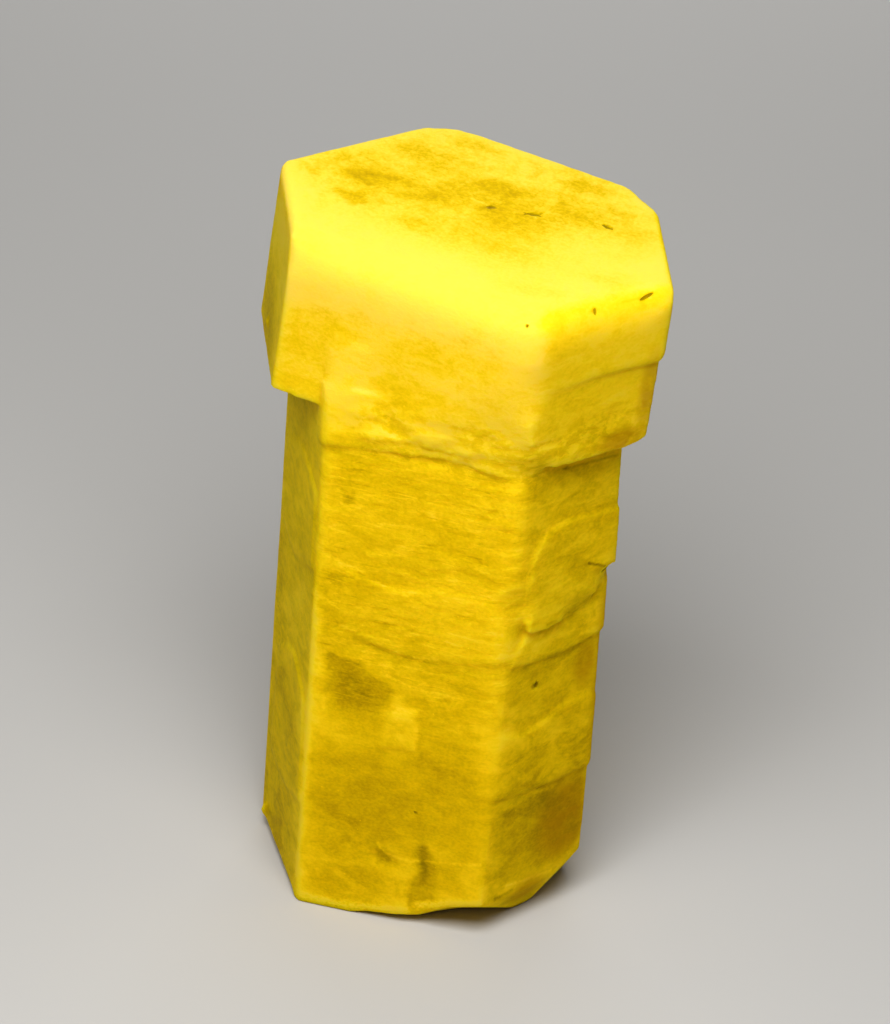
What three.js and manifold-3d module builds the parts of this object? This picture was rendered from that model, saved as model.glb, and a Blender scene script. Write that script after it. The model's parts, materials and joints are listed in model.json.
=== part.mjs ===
// A fluorapatite crystal: a long six-sided stem that carries a wider six-sided head, slightly tilted and
// twisted on it. Both grew as one piece. The foot is broken off, and the crystal stands on that break.
// Millimetres, +Z up along the stem, -Y out of its broad front face.
// The sides of both prisms are counted from 0: front, right, back right, back, back left, left.

import * as THREE from 'three';
import { mergeVertices } from 'three/addons/utils/BufferGeometryUtils.js';
import Module from 'manifold-3d';

const wasm = await Module();
wasm.setup();

// Every prism corner turns by this angle, as hexagonal growth demands
const TURN = Math.PI / 3;
const UP = new THREE.Vector3(0, 0, 1);
const degrees = THREE.MathUtils.degToRad;

// Stem: lengths of sides 0 to 3, from which the other two follow, and the rounding of its upright edges
const STEM_SIDES = [8.62, 6.14, 6.7, 9.13];
const STEM_SOFTNESS = [0.6, 1.2, 0.4, 0.6, 0.7, 0.4];
const STEM_FOOT = -0.42;
const STEM_TOP = 28.1;

// The stem's front left corner ends in a short slope where it rises into the head's face
const CROWN_RISE = 0.7;

// The stem's right half is a little wider above the waist, and narrows from here down to the foot
const WAIST_HEIGHT = 16.9;
const WAIST_STEP = 0.32;
const TAPER_HEIGHT = 13;
const TAPER_SLOPE = 0.016;

// Head: lengths of sides 0 to 3, rounding of its upright edges, height, and how it stands on the stem
const HEAD_SIDES = [11.75, 7.36, 8.04, 10.4];
const HEAD_SOFTNESS = [0.35, 1.7, 0.35, 0.6, 3.4, 0.9];
const HEAD_HEIGHT = 7.82;
const HEAD_CORNER = new THREE.Vector3(-2.73, 0.63, 24.64);
const HEAD_TILT = degrees(4.6);
const HEAD_LEAN = degrees(0.7);
const HEAD_TWIST = degrees(-7.7);

// Rounding of the head's six top edges
const BROW_RADII = [1.25, 1, 0.3, 0.2, 0.2, 0.4];
const BROW_FACETS = 4;

// The head's back right corner is blunted by a small upright face, and its lower right corner is worn round
const BLUNTED_CORNER = 3;
const BLUNTING = 1.5;
const WORN_CORNER = 2;
const WORN_RADIUS = 1;
const WORN_FACETS = 3;

// The head's underside steps up a little where it reaches past the stem on the left
const UNDERCUT_REACH = 2.45;
const UNDERCUT_RISE = 0.22;

// Low down, the head's front slopes back towards the stem's front. The foot of the slope is at this height and
// stands out a little from the stem, and the slope leans back by this angle.
const SLOPE_FOOT = 23.7;
const SLOPE_STAND = 0.16;
const SLOPE_LEAN = degrees(9.3);

// Fineness of the curves, and sizes of the cutting blocks that only have to be large enough
const CORNER_STEPS = 4;
const PATCH_STEPS = 2;
const SCOOP_SEGMENTS = 20;
const ROOT_DEPTH = 0.8;
const CLEAR = 3;
const HALF_SPACE = 60;

// Thin growth layers on the stem, each inside an outline on one side of it: a lower edge from left to right
// and an upper edge from right to left, measured from that side's left corner and up from z = 0
const STEM_LAYERS = [
  // Front: the step just below the head with two flakes on it, a band across the middle, and a short block
  // with an upright right edge
  {
    side: 0,
    lift: 0.13,
    lower: [[-0.9, 22.8], [0.7, 23.15], [4.4, 23.4], [5.9, 23.55], [7.8, 23.2], [9.4, 22.9]],
    upper: [[9.4, 26], [-0.9, 26]],
  },
  { side: 0, lift: 0.21, lower: [[1.6, 24.2], [2.1, 23.7]], upper: [[3.2, 24], [2.8, 24.5]] },
  { side: 0, lift: 0.19, lower: [[0.9, 25], [1.5, 24.7]], upper: [[2.4, 25], [1.9, 25.4]] },
  {
    side: 0,
    lift: 0.07,
    lower: [[1.1, 14.4], [3.3, 13.4], [5.9, 13.4], [9.4, 13.9]],
    upper: [[9.4, 16.3], [6.2, 16.9], [3.8, 16.5], [1.4, 17]],
  },
  { side: 0, lift: 0.08, lower: [[3.4, 8.5], [5, 8.6]], upper: [[5, 10.6], [3.9, 10.3]] },
  // Right: the rounded tab, the band below it, and the wide band low down
  {
    side: 1,
    lift: 0.42,
    lower: [[1.1, 15.6], [1.4, 15.05], [3, 15], [4.5, 15.4], [5.6, 16], [6.4, 16.6]],
    upper: [[6.4, 19.7], [4.8, 19.95], [3, 20.1], [1.8, 19.7], [1.2, 18.7], [1.05, 17.2]],
  },
  {
    side: 1,
    lift: 0.14,
    lower: [[0.5, 13.5], [3.6, 13.2], [6.9, 13.6]],
    upper: [[6.9, 17], [3.9, 16.6], [1.9, 15.6]],
  },
  {
    side: 1,
    lift: 0.03,
    lower: [[-0.4, 6.9], [2.4, 6.5], [6.8, 6.5]],
    upper: [[6.8, 9.9], [4.6, 10.4], [2.2, 9.6], [0.3, 10]],
  },
  // Back right: the right band carried round the corner, and two layers with curved tops
  { side: 2, lift: 0.14, lower: [[-0.8, 13.6], [2.9, 13.1], [7.5, 13.5]], upper: [[7.5, 17], [-0.8, 17]] },
  {
    side: 2,
    lift: 0.22,
    lower: [[1.3, 4.6], [3, 3.7], [5.2, 4.3]],
    upper: [[5.2, 9.2], [4.1, 12.2], [2.6, 12.7], [1.2, 11.6]],
  },
  {
    side: 2,
    lift: 0.46,
    lower: [[3.4, 18.6], [5.2, 17.9], [7.2, 18.1]],
    upper: [[7.2, 22], [5.3, 22.9], [3.7, 21.6]],
  },
  // Back: a tall slab that starts at the foot, and a shorter one near the head
  {
    side: 3,
    lift: 0.3,
    lower: [[1.4, -1], [5.3, -1]],
    upper: [[5.1, 9.8], [4.4, 15.2], [3.1, 16.4], [1.9, 14.8]],
  },
  {
    side: 3,
    lift: 0.16,
    lower: [[4.2, 18.2], [6.6, 17.1], [9.7, 17.5]],
    upper: [[9.7, 22.4], [7.4, 22.9], [4.8, 22.1]],
  },
  // Back left and left: low broad layers
  {
    side: 4,
    lift: 0.2,
    lower: [[-0.5, 7.1], [2.4, 6.4], [4.2, 7]],
    upper: [[4.3, 16.2], [3, 18.4], [-0.5, 19.1]],
  },
  {
    side: 5,
    lift: 0.09,
    lower: [[1.2, 4.2], [3.6, 3.8], [6.9, 4.6]],
    upper: [[6.6, 9.6], [4.2, 10.7], [1.7, 9.7]],
  },
  {
    side: 5,
    lift: 0.08,
    lower: [[0.7, 15.9], [3.4, 15.3], [6.6, 16.4]],
    upper: [[6.5, 20.1], [3.6, 20.9], [0.9, 19.8]],
  },
];

// Scooped hollows in the stem: the flute and the shell-shaped flake low on the front, the notch on the
// right corner, and two contact dents on the back where other crystals once leaned
const STEM_HOLLOWS = [
  { side: 0, at: [5.7, 0.4, 0.95], size: [1.6, 8, 1.1] },
  { side: 0, at: [3.9, 2.72, 0.6], size: [1.5, 0.75, 0.75], lean: -14 },
  { side: 1, at: [6.3, 16.6, 0.15], size: [0.75, 0.3, 0.36], lean: 12 },
  { side: 3, at: [7.6, 10.4, 1.9], size: [2.6, 3.4, 2.6], lean: 24 },
  { side: 4, at: [2.9, 3.4, 1.2], size: [1.7, 1.2, 1.6], lean: -30 },
];

// Growth layers on the head, in the same terms, measured up from the head's own underside
const HEAD_LAYERS = [
  {
    side: 2,
    lift: 0.1,
    lower: [[2.6, 1.4], [4.8, 1.1], [6.4, 1.8]],
    upper: [[6.2, 3.2], [4.6, 3.6], [2.9, 2.9]],
  },
  {
    side: 3,
    lift: 0.1,
    lower: [[1.2, 3], [3, 2.3], [5.8, 2.9]],
    upper: [[5.4, 6.4], [3.4, 6.9], [1.4, 6.1]],
  },
  { side: 4, lift: 0.12, lower: [[2, -1], [7.4, -1]], upper: [[7.2, 3.6], [4.6, 4.5], [2.4, 3.4]] },
];

// Below these ledges the head's right and back right sides fall back, turned a little about an upright hinge
const HEAD_LEDGES = [
  { side: 1, hinge: 0.5, turn: degrees(1.7), edge: [[0.5, 4.1], [2.35, 4.15], [3.9, 4.35], [8.4, 4.2]] },
  { side: 2, hinge: 7.6, turn: degrees(-1.5), edge: [[-0.9, 4.2], [2.1, 4.6], [4.9, 3.9], [7.6, 4]] },
];

// Small angular flakes scattered low on the slope, where the head spreads over the stem's front: their zone
// is measured from the stem's left corner and up the slope from its foot
const FLAKE_COUNT = 9;
const FLAKE_ZONE = { left: 3.3, right: 7.9, low: 0.35, high: 1.8 };
const FLAKE_HALF_WIDTH = { least: 0.25, most: 0.6 };
const FLAKE_LIFT = { least: 0.03, most: 0.09 };

// The break at the foot is flat where the crystal stands. Each flake lost from it has its edge on one side of
// the stem, and runs inwards and down from that edge by its own slope.
const FOOT_FLAKES = [
  {
    side: 0,
    slope: 0.6,
    edge: [[2.1, -0.5], [3.4, -0.1], [5.1, 0.08], [5.9, 0.42], [6.7, 0.87], [9.2, 1.5]],
  },
  { side: 1, slope: 1.75, edge: [[-0.2, 1.5], [3.4, 1.5], [5.7, 1.72], [6.5, 2.4]] },
  { side: 3, slope: 0.9, edge: [[5.6, -0.5], [7.2, 0.5], [10, 0.9]] },
  { side: 5, slope: 0.7, edge: [[-1, 0.1], [1.5, 0], [5.6, -0.15], [6.9, -0.5]] },
];
const FOOT_FLAKE_REACH = 4;

// Three points of the plane break that took the stem's right corner
const CORNER_BREAK = [
  new THREE.Vector3(9.75, 4.7, STEM_FOOT),
  new THREE.Vector3(10.45, 8.6, STEM_FOOT),
  new THREE.Vector3(11.6, 5.2, 2.3),
];

// Corner points of an equal-angled hexagon, counter-clockwise from its front left corner
function hexagon([front, right, backRight, back]) {
  const backLeft = front + right - back;
  const corners = [new THREE.Vector2(0, 0)];
  [front, right, backRight, back, backLeft].forEach((length, side) => {
    const step = new THREE.Vector2(length, 0).rotateAround(corners[0], side * TURN);
    corners.push(step.add(corners[side]));
  });
  return corners;
}

// The same hexagon with each side moved outwards by its own lift
function grown(corners, lifts) {
  return corners.map((corner, side) => {
    const before = lifts.at(side - 1);
    const after = lifts[side];
    const along = (after * Math.cos(TURN) - before) / Math.sin(TURN);
    return new THREE.Vector2(along, -after).rotateAround(new THREE.Vector2(), side * TURN).add(corner);
  });
}

// A closed outline through the corners, each rounded by its own radius
function softOutline(corners, radii) {
  const shape = new THREE.Shape();
  corners.forEach((corner, side) => {
    const before = corners.at(side - 1);
    const after = corners[(side + 1) % corners.length];
    const reach = radii[side] * Math.tan(TURN / 2);
    const enter = before.clone().sub(corner).setLength(reach).add(corner);
    const leave = after.clone().sub(corner).setLength(reach).add(corner);
    if (side === 0) {
      shape.moveTo(enter.x, enter.y);
    } else {
      shape.lineTo(enter.x, enter.y);
    }
    shape.quadraticCurveTo(corner.x, corner.y, leave.x, leave.y);
  });
  return shape;
}

// An outline of a lower edge from left to right and an upper edge from right to left, curved where an edge
// has more than two points
function patchOutline(lower, upper) {
  const shape = new THREE.Shape();
  shape.moveTo(...lower[0]);
  [lower.slice(1), upper].forEach((edge) => {
    const points = edge.map(([along, height]) => new THREE.Vector2(along, height));
    if (edge === upper) {
      const first = points.shift();
      shape.lineTo(first.x, first.y);
    }
    if (points.length > 1) {
      shape.splineThru(points);
    } else {
      shape.lineTo(points[0].x, points[0].y);
    }
  });
  return shape;
}

// All that lies under an edge, as an outline for cutting away
function underEdge(edge) {
  const left = edge[0][0];
  const right = edge.at(-1)[0];
  return patchOutline([[left, -CLEAR], [right, -CLEAR]], edge.toReversed());
}

function block(outline, from, to, curveSegments) {
  const settings = { depth: to - from, bevelEnabled: false, curveSegments };
  const geometry = new THREE.ExtrudeGeometry(outline, settings);
  return geometry.translate(0, 0, from);
}

function asSolid(geometry) {
  geometry.deleteAttribute('normal');
  geometry.deleteAttribute('uv');
  const merged = mergeVertices(geometry);
  return new wasm.Manifold(new wasm.Mesh({
    numProp: 3,
    vertProperties: merged.attributes.position.array,
    triVerts: Uint32Array.from(merged.index.array),
  }));
}

function prism(corners, radii, low, high) {
  return asSolid(block(softOutline(corners, radii), low, high, CORNER_STEPS));
}

// A block that fills all space past a plane, for cutting a solid off there
function past(point, normal) {
  const outward = normal.clone().normalize();
  const geometry = new THREE.BoxGeometry(HALF_SPACE, HALF_SPACE, HALF_SPACE);
  geometry.applyQuaternion(new THREE.Quaternion().setFromUnitVectors(UP, outward));
  const centre = outward.clone().multiplyScalar(HALF_SPACE / 2).add(point);
  return asSolid(geometry.translate(centre.x, centre.y, centre.z));
}

// The block past the plane of three points, on the side that looks away from the kept point
function pastPlane([first, second, third], kept) {
  const normal = second.clone().sub(first).cross(third.clone().sub(first));
  if (kept.clone().sub(first).dot(normal) > 0) {
    normal.negate();
  }
  return past(first, normal);
}

// Axes of one side of a prism: X along it, Y up, Z straight out
function sideFrame(corners, side) {
  const start = corners[side];
  const end = corners[(side + 1) % corners.length];
  const along = new THREE.Vector3(end.x - start.x, end.y - start.y, 0).normalize();
  const out = along.clone().cross(UP);
  return new THREE.Matrix4().makeBasis(along, UP, out).setPosition(start.x, start.y, 0);
}

// A growth layer: the part of a slightly larger prism that lies inside an outline on one side
function layer(corners, radii, [low, high], { side, lift, lower, upper }) {
  const sleeve = prism(grown(corners, corners.map(() => lift)), radii, low, high);
  const punch = block(patchOutline(lower, upper), -ROOT_DEPTH, CLEAR, PATCH_STEPS);
  return sleeve.intersect(asSolid(punch.applyMatrix4(sideFrame(corners, side))));
}

// An ellipsoid that dips into one side of a prism
function scoop(corners, { side, at, size, lean = 0 }) {
  const geometry = new THREE.SphereGeometry(1, SCOOP_SEGMENTS, SCOOP_SEGMENTS / 2);
  geometry.scale(...size).rotateZ(degrees(lean)).translate(...at);
  return asSolid(geometry.applyMatrix4(sideFrame(corners, side)));
}

const stemCorners = hexagon(STEM_SIDES);
const headCorners = hexagon(HEAD_SIDES);
const stemCore = new THREE.Vector3(4, 5.5, 12);
const headCore = new THREE.Vector3(5, 6, 4);

// The wedge that narrows one side of the stem down to the foot
function taper(side) {
  const frame = sideFrame(stemCorners, side);
  const hinge = new THREE.Vector3(0, TAPER_HEIGHT, 0).applyMatrix4(frame);
  const out = new THREE.Vector3(0, -TAPER_SLOPE, 1).transformDirection(frame);
  return past(hinge, out).subtract(past(hinge, UP));
}

function crownSlope() {
  const left = new THREE.Vector3(0, 0, STEM_TOP);
  const right = new THREE.Vector3(1, 0, STEM_TOP);
  const behind = new THREE.Vector3(0, 1, STEM_TOP + CROWN_RISE);
  return pastPlane([left, right, behind], stemCore);
}

function buildStem() {
  let stem = prism(stemCorners, STEM_SOFTNESS, STEM_FOOT, STEM_TOP);
  stem = stem.subtract(taper(1)).subtract(taper(2));
  const upperCorners = grown(stemCorners, [0, WAIST_STEP, WAIST_STEP, 0, 0, 0]);
  stem = stem.add(prism(upperCorners, STEM_SOFTNESS, WAIST_HEIGHT, STEM_TOP));
  STEM_LAYERS.forEach((patch) => {
    stem = stem.add(layer(stemCorners, STEM_SOFTNESS, [STEM_FOOT, STEM_TOP], patch));
  });
  STEM_HOLLOWS.forEach((hollow) => {
    stem = stem.subtract(scoop(stemCorners, hollow));
  });
  return stem.subtract(crownSlope());
}

// Cuts the facets that round one top edge of the head
function roundBrow(head, side) {
  const radius = BROW_RADII[side];
  const frame = sideFrame(headCorners, side);
  const centre = new THREE.Vector3(0, HEAD_HEIGHT - radius, -radius);
  let rounded = head;
  for (let facet = 1; facet <= BROW_FACETS; facet += 1) {
    const angle = (facet / (BROW_FACETS + 1)) * (Math.PI / 2);
    const normal = new THREE.Vector3(0, Math.cos(angle), Math.sin(angle));
    const point = normal.clone().multiplyScalar(radius).add(centre);
    rounded = rounded.subtract(past(point.applyMatrix4(frame), normal.transformDirection(frame)));
  }
  return rounded;
}

function headLedge({ side, hinge, turn, edge }) {
  const geometry = block(underEdge(edge), 0, CLEAR, PATCH_STEPS);
  geometry.translate(-hinge, 0, 0).rotateY(turn).translate(hinge, 0, 0);
  return asSolid(geometry.applyMatrix4(sideFrame(headCorners, side)));
}

function headUndercut() {
  const outline = underEdge([[-2 * CLEAR, UNDERCUT_RISE], [UNDERCUT_REACH, UNDERCUT_RISE]]);
  const depth = headCorners[5].y;
  return asSolid(block(outline, -depth, CLEAR, 1).applyMatrix4(sideFrame(headCorners, 0)));
}

function headBlunting() {
  const corner = headCorners[BLUNTED_CORNER];
  const [before, after] = [-1, 1].map((step) => {
    const point = headCorners[BLUNTED_CORNER + step].clone().sub(corner).setLength(BLUNTING).add(corner);
    return new THREE.Vector3(point.x, point.y, 0);
  });
  return pastPlane([before, after, before.clone().add(UP)], headCore);
}

// Cuts the facets that round the head's lower right corner
function wearCorner(head) {
  const corner = headCorners[WORN_CORNER];
  const centre = new THREE.Vector3(corner.x - WORN_RADIUS, corner.y, WORN_RADIUS);
  let worn = head;
  for (let facet = 1; facet <= WORN_FACETS; facet += 1) {
    const angle = (facet / (WORN_FACETS + 1)) * (Math.PI / 2);
    const normal = new THREE.Vector3(Math.sin(angle), 0, -Math.cos(angle));
    worn = worn.subtract(past(normal.clone().multiplyScalar(WORN_RADIUS).add(centre), normal));
  }
  return worn;
}

// Axes of the slope: X along the stem's front, Y up the slope, Z straight out of it
function slopeFrame() {
  const lean = new THREE.Matrix4().makeRotationX(Math.PI / 2 + SLOPE_LEAN);
  return lean.setPosition(0, -SLOPE_STAND, SLOPE_FOOT);
}

function headSlope() {
  const frame = slopeFrame();
  const foot = new THREE.Vector3().setFromMatrixPosition(frame);
  return past(foot, new THREE.Vector3(0, 0, 1).transformDirection(frame));
}

// The scattered flakes: steps of two unlike lengths spread their places and sizes without repeating
function roughZone() {
  const spread = (low, high, part) => low + (high - low) * (part % 1);
  return Array.from({ length: FLAKE_COUNT }, (unused, index) => {
    const along = spread(FLAKE_ZONE.left, FLAKE_ZONE.right, index * 0.618);
    const height = spread(FLAKE_ZONE.low, FLAKE_ZONE.high, index * 0.755);
    const half = spread(FLAKE_HALF_WIDTH.least, FLAKE_HALF_WIDTH.most, index * 0.57);
    const tall = 0.45 * half;
    const lower = [[along - half, height + 0.3 * tall], [along - 0.2 * half, height - tall]];
    const upper = [[along + half, height - 0.7 * tall], [along + 0.3 * half, height + tall]];
    const lift = spread(FLAKE_LIFT.least, FLAKE_LIFT.most, index * 0.57);
    const flake = block(patchOutline(lower, upper), -ROOT_DEPTH, lift, PATCH_STEPS);
    return asSolid(flake.applyMatrix4(slopeFrame()));
  });
}

function buildHead() {
  let head = prism(headCorners, HEAD_SOFTNESS, 0, HEAD_HEIGHT);
  HEAD_LAYERS.forEach((patch) => {
    head = head.add(layer(headCorners, HEAD_SOFTNESS, [0, HEAD_HEIGHT], patch));
  });
  HEAD_LEDGES.forEach((ledge) => {
    head = head.subtract(headLedge(ledge));
  });
  BROW_RADII.forEach((radius, side) => {
    head = roundBrow(head, side);
  });
  head = wearCorner(head).subtract(headUndercut()).subtract(headBlunting());
  const stance = new THREE.Euler(HEAD_LEAN, HEAD_TILT, HEAD_TWIST, 'YXZ');
  const placed = new THREE.Matrix4().makeRotationFromEuler(stance).setPosition(HEAD_CORNER);
  head = head.transform(placed.toArray()).subtract(headSlope());
  roughZone().forEach((flake) => {
    head = head.add(flake);
  });
  return head;
}

function footFlake({ side, slope, edge }) {
  const geometry = block(underEdge(edge), -FOOT_FLAKE_REACH, 1, 1);
  geometry.applyMatrix4(new THREE.Matrix4().makeShear(0, 0, 0, 0, 0, slope));
  return asSolid(geometry.applyMatrix4(sideFrame(stemCorners, side)));
}

function buildCrystal() {
  let crystal = buildStem().add(buildHead());
  FOOT_FLAKES.forEach((flake) => {
    crystal = crystal.subtract(footFlake(flake));
  });
  return crystal.subtract(pastPlane(CORNER_BREAK, stemCore));
}

// The solid as a mesh geometry, standing on z = 0 with the middle of its box over the origin
function standing(solid) {
  const mesh = solid.getMesh();
  const geometry = new THREE.BufferGeometry();
  geometry.setAttribute('position', new THREE.BufferAttribute(mesh.vertProperties, 3));
  geometry.setIndex(new THREE.BufferAttribute(mesh.triVerts, 1));
  geometry.computeBoundingBox();
  const middle = geometry.boundingBox.getCenter(new THREE.Vector3());
  geometry.translate(-middle.x, -middle.y, -geometry.boundingBox.min.z);
  geometry.computeVertexNormals();
  return geometry;
}

const apatite = new THREE.MeshStandardMaterial({ color: 0xe8bf14, roughness: 0.45, metalness: 0 });
const crystal = new THREE.Mesh(standing(buildCrystal()), apatite);
crystal.name = 'crystal';

const specimen = new THREE.Group();
specimen.add(crystal);

export default specimen;
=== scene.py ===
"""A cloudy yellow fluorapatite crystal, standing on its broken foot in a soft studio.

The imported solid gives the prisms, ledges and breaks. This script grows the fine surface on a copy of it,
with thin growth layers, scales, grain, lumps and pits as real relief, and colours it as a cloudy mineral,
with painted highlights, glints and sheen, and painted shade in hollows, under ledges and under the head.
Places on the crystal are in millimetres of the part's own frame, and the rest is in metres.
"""

import json
import math

import bpy
import numpy as np
from mathutils import Matrix, Vector, noise

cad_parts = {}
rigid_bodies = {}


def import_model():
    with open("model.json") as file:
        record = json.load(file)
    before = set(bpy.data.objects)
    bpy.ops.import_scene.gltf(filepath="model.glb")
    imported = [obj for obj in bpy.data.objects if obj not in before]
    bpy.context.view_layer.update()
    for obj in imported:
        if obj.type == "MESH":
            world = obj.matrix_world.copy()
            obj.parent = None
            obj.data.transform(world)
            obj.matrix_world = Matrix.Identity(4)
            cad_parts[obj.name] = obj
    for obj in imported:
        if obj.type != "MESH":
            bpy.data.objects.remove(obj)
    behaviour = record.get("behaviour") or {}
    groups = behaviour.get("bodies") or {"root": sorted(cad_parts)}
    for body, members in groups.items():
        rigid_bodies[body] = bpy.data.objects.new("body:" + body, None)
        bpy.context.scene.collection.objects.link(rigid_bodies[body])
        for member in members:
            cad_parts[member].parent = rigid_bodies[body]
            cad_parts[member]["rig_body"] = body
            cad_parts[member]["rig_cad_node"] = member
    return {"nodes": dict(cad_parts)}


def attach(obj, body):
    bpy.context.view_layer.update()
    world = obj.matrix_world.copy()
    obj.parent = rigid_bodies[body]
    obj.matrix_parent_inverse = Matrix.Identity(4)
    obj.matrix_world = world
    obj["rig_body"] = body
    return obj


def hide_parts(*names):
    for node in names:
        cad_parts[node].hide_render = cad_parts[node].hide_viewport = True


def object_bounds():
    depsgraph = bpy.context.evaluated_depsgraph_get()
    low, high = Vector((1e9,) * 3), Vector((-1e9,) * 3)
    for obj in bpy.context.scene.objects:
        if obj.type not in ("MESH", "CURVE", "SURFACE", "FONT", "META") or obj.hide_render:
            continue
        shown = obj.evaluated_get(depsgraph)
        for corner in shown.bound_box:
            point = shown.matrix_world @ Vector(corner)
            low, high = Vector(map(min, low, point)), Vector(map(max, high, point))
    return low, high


bl_info = {
    "name": "Fluorapatite Crystal",
    "version": (1, 0, 0),
    "blender": (4, 5, 0),
    "location": "View3D > Sidebar > Crystal",
    "description": "Builds a cloudy yellow hexagonal crystal and the studio it stands in",
    "category": "Add Mesh",
}

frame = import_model()
CAD_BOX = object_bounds()
CAD_LOW, CAD_HIGH = CAD_BOX

NODE = "crystal"
BODY = "root"
PIECE = "crystal_surface"

MM = 0.001
HEIGHT = CAD_HIGH.z - CAD_LOW.z

# How near two points are one, how thin a face is merged away, how far the melting spreads, and where
# the camera looks
SAME_POINT = 0.001
SLIVER = 0.004
MELT_REACH = 1.1
PICTURE_MIDDLE = (-1.369, 3.525, 15.44)

# Fixes the noise that moves the outlines of the shaded areas, so that every run gives the same crystal
WOBBLE_SEED = 1

# Faces that shades lie on: a place on each, the direction to its right and the direction up it. The right
# and left faces are measured from the stem's front edges, and the top from the crystal's middle.
FACES = {
    "front": ((0, -6.28, 0), (1, 0, 0), (0, 0, 1)),
    "right": ((4.23, -6.28, 0), (0.5, 0.866, 0), (0, 0, 1)),
    "left": ((-4.39, -6.28, 0), (0.5, -0.866, 0), (0, 0, 1)),
    "top": ((0, 0, 32.4), (1, 0, 0), (0, 1, 0)),
}

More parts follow.
